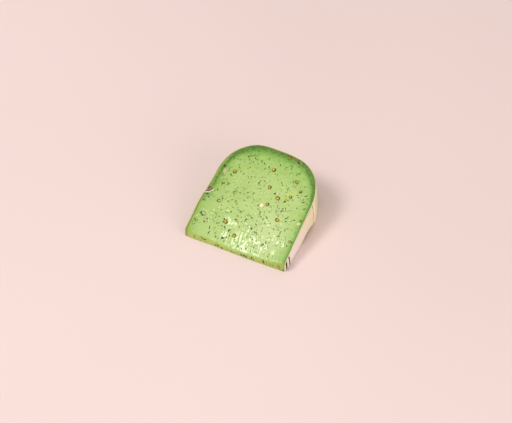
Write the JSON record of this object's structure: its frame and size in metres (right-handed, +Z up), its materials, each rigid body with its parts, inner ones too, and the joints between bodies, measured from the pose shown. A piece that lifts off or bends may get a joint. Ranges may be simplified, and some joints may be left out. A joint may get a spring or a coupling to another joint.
{
  "type": "cheese wedge",
  "caption": "Wedge of green herb cheese with mustard seeds and garlic chips, lying on a cut face, with coated rind and a paper label on one flat.",
  "frame": {"origin": "under the middle of the wedge, on the surface that the lower cut face rests on", "axes": "+Z up; +Y along the lower cut face from the trimmed nose to the rim; +X across the wheel's height, towards the labelled flat"},
  "size_m": [0.0936, 0.0977, 0.0428],
  "materials": {
    "cheese_paste": "moist satin, green with dark herb flecks",
    "cheese_coat": "thin brushed-on coat, pale straw yellow, satin",
    "label_paper": "matt printed paper, cream with dark rings",
    "mustard_seed": "amber brown skin, pale yellow where sliced",
    "garlic": "cream, slightly translucent"
  },
  "bodies": {
    "root": {"paste": "cheese_paste", "rind_coat": "cheese_coat", "flat_label": "label_paper", "label_scrap": "label_paper", "mustard_seed_1": "mustard_seed", "mustard_seed_2": "mustard_seed", "mustard_seed_3": "mustard_seed", "mustard_seed_4": "mustard_seed", "mustard_seed_5": "mustard_seed", "mustard_seed_6": "mustard_seed", "mustard_seed_7": "mustard_seed", "mustard_seed_8": "mustard_seed", "mustard_seed_9": "mustard_seed", "mustard_seed_10": "mustard_seed", "mustard_seed_11": "mustard_seed", "mustard_seed_12": "mustard_seed", "mustard_seed_13": "mustard_seed", "mustard_seed_14": "mustard_seed", "mustard_seed_15": "mustard_seed", "mustard_seed_16": "mustard_seed", "mustard_seed_17": "mustard_seed", "mustard_seed_18": "mustard_seed", "mustard_seed_19": "mustard_seed", "garlic_chip_1": "garlic", "garlic_chip_2": "garlic", "garlic_chip_3": "garlic", "garlic_chip_4": "garlic", "garlic_chip_5": "garlic", "garlic_chip_6": "garlic", "garlic_chip_7": "garlic"}
  },
  "joints": []
}
